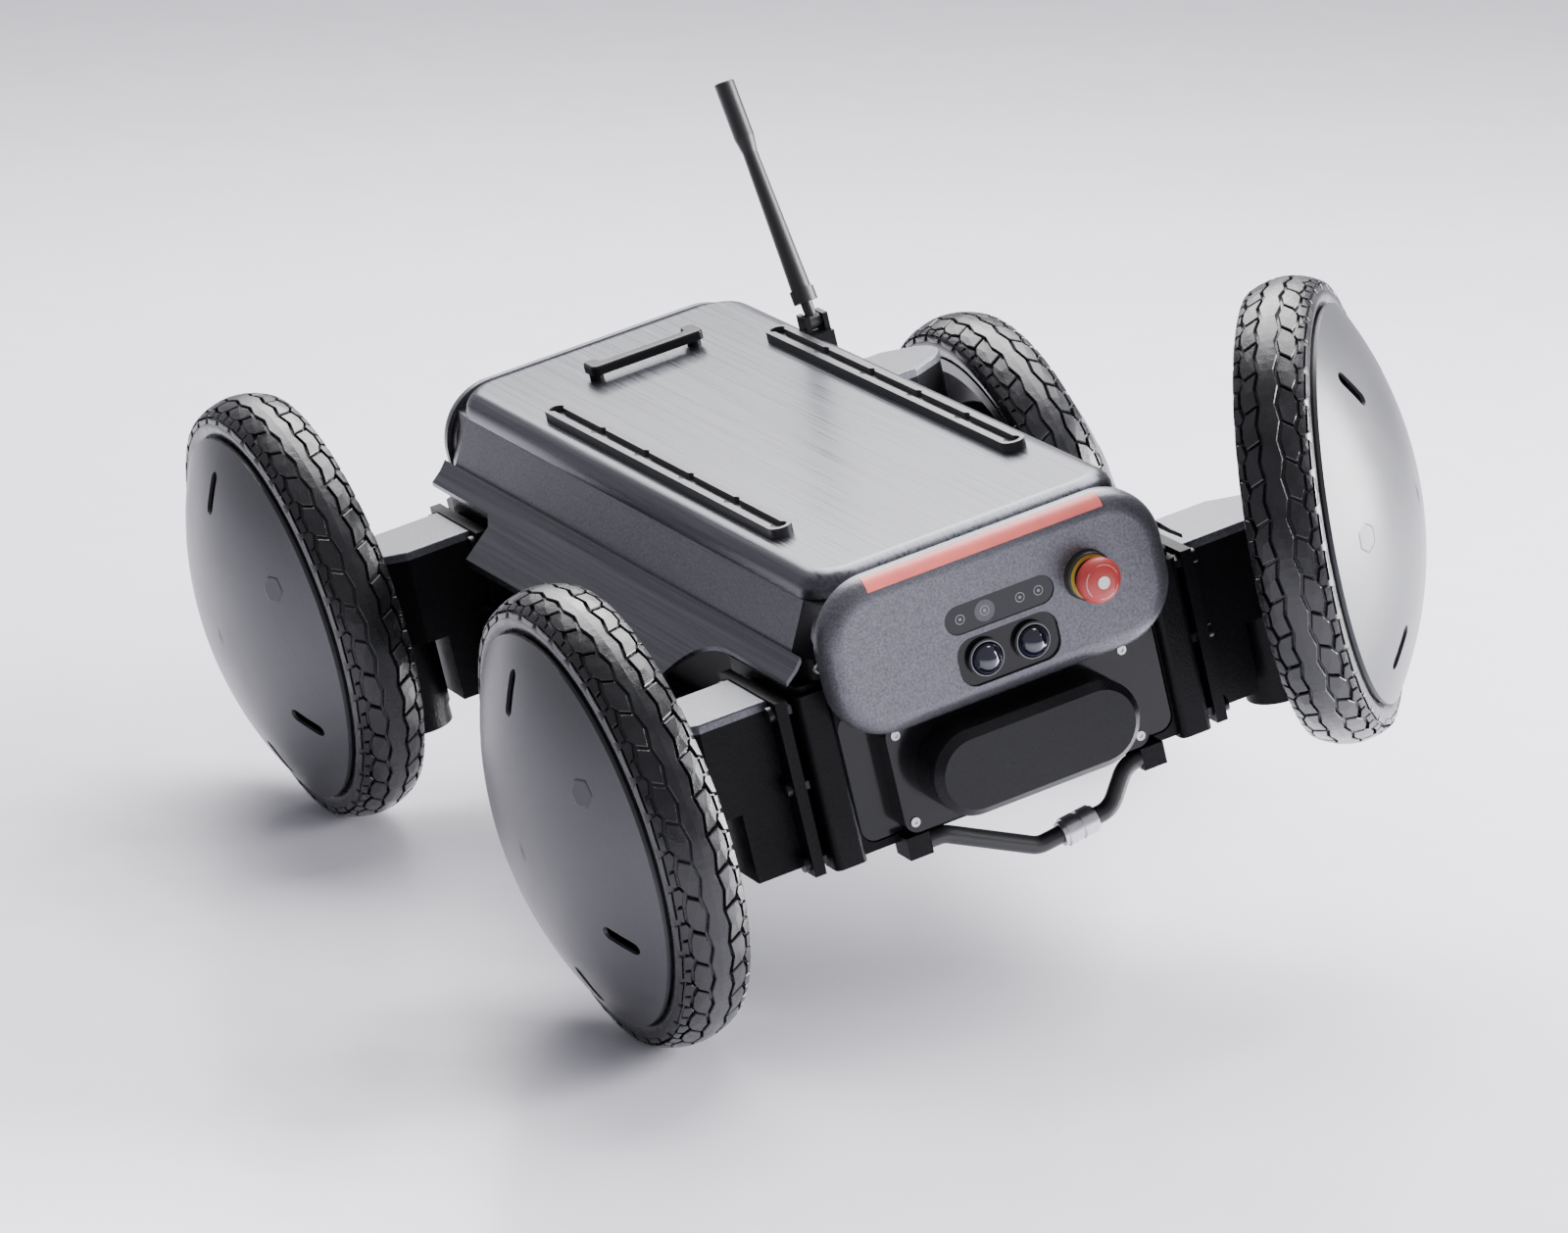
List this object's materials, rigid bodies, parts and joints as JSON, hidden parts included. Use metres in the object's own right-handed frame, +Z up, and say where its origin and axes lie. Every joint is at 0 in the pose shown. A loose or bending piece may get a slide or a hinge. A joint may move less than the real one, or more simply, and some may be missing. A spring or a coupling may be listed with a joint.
{
  "type": "four wheel robot chassis",
  "caption": "Flat-topped rover body on box arms; every wheel steers, slides up and down on a lift plate and spins, with sensors, stop button and light bar at the front.",
  "frame": {"origin": "centre of the belly plate's underside", "axes": "+X forward, +Y to the robot's left, +Z up, square to the body"},
  "size_m": [1.1369, 0.8971, 0.7292],
  "materials": {
    "tyre": "matt",
    "cover_grey": "satin",
    "rim_black": "satin",
    "black_textured": "textured satin",
    "motor_black": "satin",
    "satin_grey": "satin",
    "brushed_aluminium": "brushed",
    "casing_black": "matt",
    "black_satin": "satin",
    "red_diffuser": "gloss",
    "black_gloss": "gloss",
    "dark_glass": "gloss",
    "lens_glass": "gloss",
    "collar_yellow": "satin",
    "button_red": "satin",
    "black_anodised": "satin",
    "whip_rubber": "satin",
    "screw_steel": "satin",
    "bolt_black": "satin",
    "cable_black": "satin",
    "connector_steel": "knurled"
  },
  "bodies": {
    "chassis": {"antenna_base": "black_satin", "arm_caps": "satin_grey", "arm_front_left": "black_textured", "arm_front_right": "black_textured", "arm_rear_left": "black_textured", "arm_rear_right": "black_textured", "battery_pack": "casing_black", "belly_plate": "black_textured", "bezels": "black_satin", "body_shell": "satin_grey", "cable_connector": "connector_steel", "camera_lenses": "lens_glass", "casting_front": "black_textured", "casting_rear": "black_textured", "control_box": "casing_black", "depth_window": "dark_glass", "estop_base": "collar_yellow", "face_screws": "screw_steel", "fascia_front": "satin_grey", "fascia_rear": "satin_grey", "flange_bolts": "bolt_black", "handle": "black_satin", "heat_sinks": "black_anodised", "held_cable": "cable_black", "lid": "brushed_aluminium", "light_bars": "red_diffuser", "panel_covers": "black_satin", "panel_frames": "black_gloss", "rails": "black_anodised", "side_beams": "black_textured", "side_skirts": "brushed_aluminium", "steering_motors": "motor_black", "twin_lens_module": "black_gloss"},
    "knuckle_front_right": {"knuckle_front_right": "black_textured"},
    "carriage_front_right": {"carriage_front_right": "black_textured", "hub_stator_front_right": "motor_black"},
    "wheel_front_right": {"rim_front_right": "rim_black", "tyre_front_right": "tyre", "dome_front_right": "cover_grey"},
    "knuckle_front_left": {"knuckle_front_left": "black_textured"},
    "carriage_front_left": {"carriage_front_left": "black_textured", "hub_stator_front_left": "motor_black"},
    "wheel_front_left": {"rim_front_left": "rim_black", "tyre_front_left": "tyre", "dome_front_left": "cover_grey"},
    "knuckle_rear_right": {"knuckle_rear_right": "black_textured"},
    "carriage_rear_right": {"carriage_rear_right": "black_textured", "hub_stator_rear_right": "motor_black"},
    "wheel_rear_right": {"rim_rear_right": "rim_black", "tyre_rear_right": "tyre", "dome_rear_right": "cover_grey"},
    "knuckle_rear_left": {"knuckle_rear_left": "black_textured"},
    "carriage_rear_left": {"carriage_rear_left": "black_textured", "hub_stator_rear_left": "motor_black"},
    "wheel_rear_left": {"rim_rear_left": "rim_black", "tyre_rear_left": "tyre", "dome_rear_left": "cover_grey"},
    "estop_plunger": {"estop_stem": "black_satin"},
    "estop_button": {"estop_cap": "button_red"},
    "antenna": {"antenna_whip": "whip_rubber"}
  },
  "joints": [
    {"name": "steer_front_right", "type": "hinge", "parent": "chassis", "child": "knuckle_front_right", "pos_m": [0.335, -0.278, 0.07], "axis": [0, 0, 1], "range_deg": [-25, 36]},
    {"name": "lift_front_right", "type": "slide", "parent": "knuckle_front_right", "child": "carriage_front_right", "axis": [0, 0, 1], "range_m": [-0.147, 0.053]},
    {"name": "spin_front_right", "type": "hinge", "parent": "carriage_front_right", "child": "wheel_front_right", "pos_m": [0.36, -0.352, 0.102], "axis": [0, -1, 0], "continuous": true},
    {"name": "steer_front_left", "type": "hinge", "parent": "chassis", "child": "knuckle_front_left", "pos_m": [0.335, 0.278, 0.07], "axis": [0, 0, 1], "range_deg": [-1, 60]},
    {"name": "lift_front_left", "type": "slide", "parent": "knuckle_front_left", "child": "carriage_front_left", "axis": [0, 0, 1], "range_m": [-0.195, 0.005]},
    {"name": "spin_front_left", "type": "hinge", "parent": "carriage_front_left", "child": "wheel_front_left", "pos_m": [0.39792, 0.32428, 0.15], "axis": [0.5736, 0.8192, 0], "continuous": true},
    {"name": "steer_rear_right", "type": "hinge", "parent": "chassis", "child": "knuckle_rear_right", "pos_m": [-0.335, -0.278, 0.07], "axis": [0, 0, 1], "range_deg": [-36, 25]},
    {"name": "lift_rear_right", "type": "slide", "parent": "knuckle_rear_right", "child": "carriage_rear_right", "axis": [0, 0, 1], "range_m": [-0.165, 0.035]},
    {"name": "spin_rear_right", "type": "hinge", "parent": "carriage_rear_right", "child": "wheel_rear_right", "pos_m": [-0.36, -0.352, 0.12], "axis": [0, -1, 0], "continuous": true},
    {"name": "steer_rear_left", "type": "hinge", "parent": "chassis", "child": "knuckle_rear_left", "pos_m": [-0.335, 0.278, 0.07], "axis": [0, 0, 1], "range_deg": [-25, 36]},
    {"name": "lift_rear_left", "type": "slide", "parent": "knuckle_rear_left", "child": "carriage_rear_left", "axis": [0, 0, 1], "range_m": [-0.005, 0.195]},
    {"name": "spin_rear_left", "type": "hinge", "parent": "carriage_rear_left", "child": "wheel_rear_left", "pos_m": [-0.36, 0.352, -0.04], "axis": [0, 1, 0], "continuous": true},
    {"name": "estop_push", "type": "slide", "parent": "chassis", "child": "estop_plunger", "axis": [-1, 0, 0], "range_m": [0, 0.004], "stiffness_N_per_m": 900, "springref_m": -0.002},
    {"name": "estop_twist", "type": "hinge", "parent": "estop_plunger", "child": "estop_button", "pos_m": [0.455, 0.084, 0.184], "axis": [1, 0, 0], "range_deg": [-45, 0], "stiffness_Nm_per_rad": 0.3},
    {"name": "antenna_tilt", "type": "hinge", "parent": "chassis", "child": "antenna", "pos_m": [-0.201, 0.139, 0.265], "axis": [0, -1, 0], "range_deg": [-21, 40]}
  ]
}
